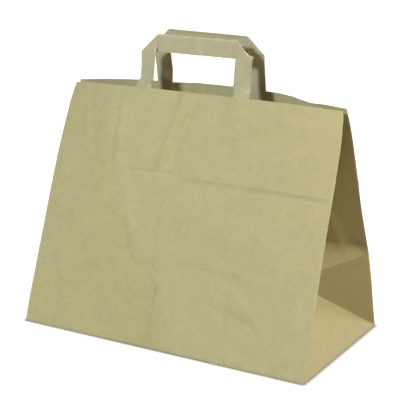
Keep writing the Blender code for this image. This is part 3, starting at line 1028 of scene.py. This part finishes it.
def patch_depth(side, x):
    """The depth of a patch's outer side: on the panel, or over a leg."""
    from_middle = np.abs(x - HANDLE_X[side])
    beside = np.abs(from_middle - (HANDLE_WIDTH - TAPE_WIDTH) / 2) - TAPE_WIDTH / 2
    hump = 1 - ease(beside / PATCH_RAMP - 0.1)
    return PLY + PATCH_GAP + (TAPE + PATCH_GAP) * hump


def make_patch(name, side):
    """A strip of paper over both ends of a tape."""
    top = PANEL_HEIGHT - PATCH_BELOW_RIM
    half = PATCH_WIDTH / 2
    across = HANDLE_X[side] + np.linspace(-half, half, round(PATCH_WIDTH / PATCH_CELL))
    up = np.linspace(top - PATCH_HEIGHT, top, round(PATCH_HEIGHT / PATCH_CELL))
    patch = add_flat_grid(name, across, up, "sheet")
    places = read_points(patch)
    x, v = places[:, 0], places[:, 1]
    wrinkle = WRINKLE * (1 + np.sin(120 * x + 60 * v)) * ease((top - v) / WRINKLE_FREE)
    depth = patch_depth(side, x) + PLY / 2 + wrinkle
    write_points(patch, laid_on(side, x, depth, v))
    marks = patch.data.attributes.new("crease", "FLOAT", "POINT")
    marks.data.foreach_set("value", np.zeros(len(places), np.float32))
    apply_modifier(patch, "SOLIDIFY", thickness=PLY, offset=0)
    face_outwards(patch)
    shade_by_angle(patch, STRIP_SMOOTH)
    return patch


front_patch = make_patch("front_tape_patch", FRONT)
back_patch = make_patch("back_tape_patch", BACK)
print("patches", [len(p.data.polygons) for p in (front_patch, back_patch)], "faces")

# %% [markdown]
# ## Kraft paper
#
# Kraft is made of long unbleached fibres. Close up it shows fine short strokes that mostly run one
# way, paler and darker clouds where the pulp lay thicker or thinner, and a few dark specks. It is
# dull, with no real gloss. The pattern is built from noise in the sheet's own UV map, stretched
# for the fibres, and it moves the colour, the roughness and a very shallow bump together.

# %% Write the paper material


class Tree:
    """A short way to add nodes and join them."""

    def __init__(self, owner, shader="Principled BSDF"):
        owner.use_nodes = True
        self.nodes = owner.node_tree.nodes
        self.links = owner.node_tree.links
        self.shader = self.nodes[shader]

    def add(self, kind, inputs=(), **settings):
        made = self.nodes.new(kind)
        for key, value in settings.items():
            setattr(made, key, value)
        for socket, value in dict(inputs).items():
            if isinstance(value, bpy.types.NodeSocket):
                self.links.new(value, made.inputs[socket])
            else:
                made.inputs[socket].default_value = value
        return made

    def maths(self, operation, a, b=0.0):
        return self.add("ShaderNodeMath", {0: a, 1: b}, operation=operation).outputs[0]

    def vectors(self, operation, a, b):
        second = "Scale" if operation == "SCALE" else 1
        made = self.add("ShaderNodeVectorMath", {0: a, second: b}, operation=operation)
        return made.outputs["Vector"]


def noise_on(tree, place, scale, detail, roughness=0.5):
    """Soft noise from 0 to 1 at a place."""
    made = tree.add("ShaderNodeTexNoise", {
        "Vector": place, "Scale": scale, "Detail": detail, "Roughness": roughness,
    })
    return made.outputs["Fac"]


def fibres_on(tree, place, turned, long, fine):
    """Noise stretched along one direction, as a share from 0 to 1 around a half."""
    laid = tree.add("ShaderNodeMapping", {
        "Vector": place, "Rotation": (0, 0, turned), "Scale": (fine, long, 1),
    })
    return noise_on(tree, laid.outputs["Vector"], 1.0, 2.0)


def swing(tree, pattern, middle, much):
    """A pattern turned into a share above and below 0."""
    return tree.maths("MULTIPLY", tree.maths("SUBTRACT", pattern, middle), much)


HUE_SWING = (0.5, -0.3, -0.5)
LEFT_SHADE_TINT = (0.004, 0.0, -0.012)


def kraft(name, colour, uv_name, roughness):
    """A dull fibrous paper. The fibres, clouds and specks make the colour a little lighter or darker."""
    material = bpy.data.materials.new(name)
    tree = Tree(material)
    place = tree.add("ShaderNodeUVMap", uv_map=uv_name).outputs["UV"]
    clouds = noise_on(tree, place, 55, 5.0, 0.75)
    blotches = noise_on(tree, place, 130, 4.0, 0.7)
    grain = noise_on(tree, place, 520, 2.0)
    along = fibres_on(tree, place, 0.06, 260, 2400)
    slanted = fibres_on(tree, place, 0.55, 300, 2000)
    crossed = fibres_on(tree, place, -0.5, 300, 2000)
    fibre = tree.maths("MAXIMUM", tree.maths("MAXIMUM", slanted, crossed), along)
    specks = noise_on(tree, place, 1500, 0.0)
    speck = tree.maths("MULTIPLY", tree.maths("GREATER_THAN", specks, 0.76), 0.10)
    crease = tree.add("ShaderNodeAttribute", attribute_name="crease").outputs["Fac"]
    left_shade = tree.add("ShaderNodeAttribute", attribute_name="painted_left_shade").outputs["Fac"]

    tone = swing(tree, clouds, 0.5, 0.24)
    for pattern, middle, much in ((blotches, 0.5, 0.20), (grain, 0.5, 0.20), (fibre, 0.62, 0.34)):
        tone = tree.maths("ADD", tone, swing(tree, pattern, middle, much))
    tone = tree.maths("SUBTRACT", tone, speck)
    # worn folds a shade paler, and painted shade darker along pressed creases
    tone = tree.maths("ADD", tone, tree.maths("MULTIPLY", crease, 0.07))
    # painted shade: the front's left part a little darker
    tone = tree.maths("SUBTRACT", tone, tree.maths("MULTIPLY", left_shade, 0.045))
    level = tree.maths("ADD", tone, 1.0)
    tinted = tree.vectors("SCALE", colour, level)
    # pulp from different wood makes patches a touch redder or greener, and the painted shade on the
    # front's left part makes it a touch warmer
    hue = swing(tree, noise_on(tree, place, 75, 4.0, 0.7), 0.5, 0.06)
    redder = tree.vectors("SCALE", HUE_SWING, hue)
    left_shade_tint = tree.vectors("SCALE", LEFT_SHADE_TINT, left_shade)
    final = tree.vectors("ADD", tree.vectors("ADD", tinted, redder), left_shade_tint)
    tree.links.new(final, tree.shader.inputs["Base Color"])

    rough = tree.maths("ADD", tree.maths("MULTIPLY", fibre, 0.12), roughness - 0.07)
    tree.links.new(rough, tree.shader.inputs["Roughness"])
    tree.shader.inputs["Specular IOR Level"].default_value = 0.25
    tree.shader.inputs["Sheen Weight"].default_value = 0.12
    tree.shader.inputs["Sheen Roughness"].default_value = 0.6

    relief = tree.maths("ADD", tree.maths("MULTIPLY", fibre, 0.6), tree.maths("MULTIPLY", grain, 0.4))
    bump = tree.add("ShaderNodeBump", {"Height": relief, "Strength": 0.35, "Distance": 0.00012})
    tree.links.new(bump.outputs["Normal"], tree.shader.inputs["Normal"])
    return material


KRAFT = (0.49, 0.435, 0.24)
TAPE_COLOUR = (0.49, 0.44, 0.285)
sheet_paper = kraft("kraft_sheet_paper", KRAFT, "sheet", 0.82)
tape_paper = kraft("kraft_tape_paper", TAPE_COLOUR, "tape", 0.78)
patch_paper = kraft("kraft_patch_paper", KRAFT, "sheet", 0.82)
print("materials", sheet_paper.name, tape_paper.name, patch_paper.name)

# %% Put the materials on the pieces


def wear(obj, material):
    obj.data.materials.clear()
    obj.data.materials.append(material)


wear(bag, sheet_paper)
for handle in (front_handle, back_handle):
    wear(handle, tape_paper)
for patch in (front_patch, back_patch):
    wear(patch, patch_paper)

# %% [markdown]
# ## Floor and light
#
# The bag stands on a white sweep, lit to pure white but for a thin shadow where the paper meets
# it. The floor gets most of its white from the camera's own rays, so no extra light has to fall on
# the bag for it. Close to the foot that glow fades out, which paints a thin contact shadow there. A
# key lamp from the front left and a large warm one beside the camera light the panels evenly. A
# lamp from the right and above brings out the fold across the gusset, and two from behind keep the
# far side of the bag readable.

# %% Lay the floor
FLOOR_SIZE = 12.0
FLOOR_TONE = (0.40, 0.36, 0.27)
FLOOR_SEEN = (0.0, 0.04, 0.13)
FLOOR_GLOW = 0.85
GLOW_RISES_FROM = 0.3
GLOW_FULL_AT = 1.5
GLOW_AT_FOOT = 0.02
PAINTED_CONTACT_REACH = 0.0065
UNDER_FOOT = 0.001

deselect_all()
bpy.ops.mesh.primitive_plane_add(size=FLOOR_SIZE)
floor = bpy.context.active_object
floor.name = "studio_floor"
floor_material = bpy.data.materials.new("floor_white")
floor_tree = Tree(floor_material)
floor_tree.shader.inputs["Roughness"].default_value = 1.0
floor_tree.shader.inputs["Specular IOR Level"].default_value = 0.0
rays = floor_tree.add("ShaderNodeLightPath").outputs
seen = floor_tree.maths("MAXIMUM", rays["Is Camera Ray"], rays["Is Glossy Ray"])
# the floor throws warm light up at the paper, but looks grey itself
greyer = floor_tree.vectors("ADD", FLOOR_TONE, floor_tree.vectors("SCALE", FLOOR_SEEN, seen))
floor_tree.links.new(greyer, floor_tree.shader.inputs["Base Color"])
# how far each spot of the floor is from the foot of the bag
spot = floor_tree.add("ShaderNodeTexCoord").outputs["Object"]
foot = (HALF_WIDTH - UNDER_FOOT, HALF_DEPTH - UNDER_FOOT, 0)
for operation, other in (("ABSOLUTE", foot), ("SUBTRACT", foot), ("MAXIMUM", (0, 0, 0))):
    spot = floor_tree.vectors(operation, spot, other)
away = floor_tree.add("ShaderNodeVectorMath", {0: spot}, operation="LENGTH").outputs["Value"]
# the glow fades out close to the foot, which paints a thin contact shadow around the bag
near = floor_tree.add("ShaderNodeMapRange", {
    "Value": away, "From Min": 0.0, "From Max": PAINTED_CONTACT_REACH, "To Min": GLOW_AT_FOOT, "To Max": FLOOR_GLOW,
}, interpolation_type="SMOOTHSTEP").outputs["Result"]
far = floor_tree.add("ShaderNodeMapRange", {
    "Value": away, "From Min": GLOW_RISES_FROM, "From Max": GLOW_FULL_AT, "To Min": 0.0,
    "To Max": 1 - FLOOR_GLOW,
}).outputs["Result"]
glow = floor_tree.maths("MULTIPLY", seen, floor_tree.maths("ADD", near, far))
floor_tree.shader.inputs["Emission Color"].default_value = (1, 1, 1, 1)
floor_tree.links.new(glow, floor_tree.shader.inputs["Emission Strength"])
wear(floor, floor_material)
print("floor", FLOOR_SIZE, "m")

# %% Hang the lamps and set the world
LAMPS_AIM = Vector((0, 0, 0.12))
LAMPS = (
    # name, place, size, watts, colour
    ("key", (-0.893, -2.922, 1.61), 0.45, 80.0, (0.80, 0.93, 1.0)),
    ("front_fill", (0.0, -2.13, 1.611), 2.4, 13.5, (1.0, 0.85, 0.6)),
    ("right_side", (1.411, 0.10, 1.805), 0.6, 34.5, (1.0, 0.93, 0.76)),
    ("back_right", (1.2, 1.8, 1.4), 0.8, 21.0, (0.88, 0.92, 1.0)),
    ("back_left", (-1.3, 2.0, 1.3), 1.4, 30.0, (1.0, 1.0, 1.0)),
)

for name, place, size, watts, colour in LAMPS:
    bpy.ops.object.light_add(type="AREA", location=place)
    lamp = bpy.context.active_object
    lamp.name = name
    lamp.data.size = size
    lamp.data.energy = watts
    lamp.data.color = colour
    lamp.rotation_euler = (LAMPS_AIM - Vector(place)).to_track_quat("-Z", "Y").to_euler()

world = bpy.data.worlds.new("studio")
bpy.context.scene.world = world
sky = Tree(world, "Background")
sky.shader.inputs["Color"].default_value = (1, 1, 1, 1)
# seen directly it is white, and it lights nothing
rays = sky.add("ShaderNodeLightPath").outputs
seen = sky.maths("MAXIMUM", rays["Is Camera Ray"], rays["Is Glossy Ray"])
seen = sky.maths("MAXIMUM", seen, rays["Is Transmission Ray"])
sky.links.new(seen, sky.shader.inputs["Strength"])
bpy.context.scene.view_settings.view_transform = "Standard"
print("lamps", [lamp[0] for lamp in LAMPS])

# %% [markdown]
# ## Tie the pieces to the measured model
#
# Every piece stands for one measured piece, which is then hidden, and rides on the same body.

# %% Ride and replace
PIECES = (
    (bag, "bag_body", "kraft"),
    (front_handle, "front_handle", "kraft_tape"),
    (back_handle, "back_handle", "kraft_tape"),
    (front_patch, "front_handle_patch", "kraft_patch"),
    (back_patch, "back_handle_patch", "kraft_patch"),
)
for piece, node, slot in PIECES:
    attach(piece, "root")
    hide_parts(node)
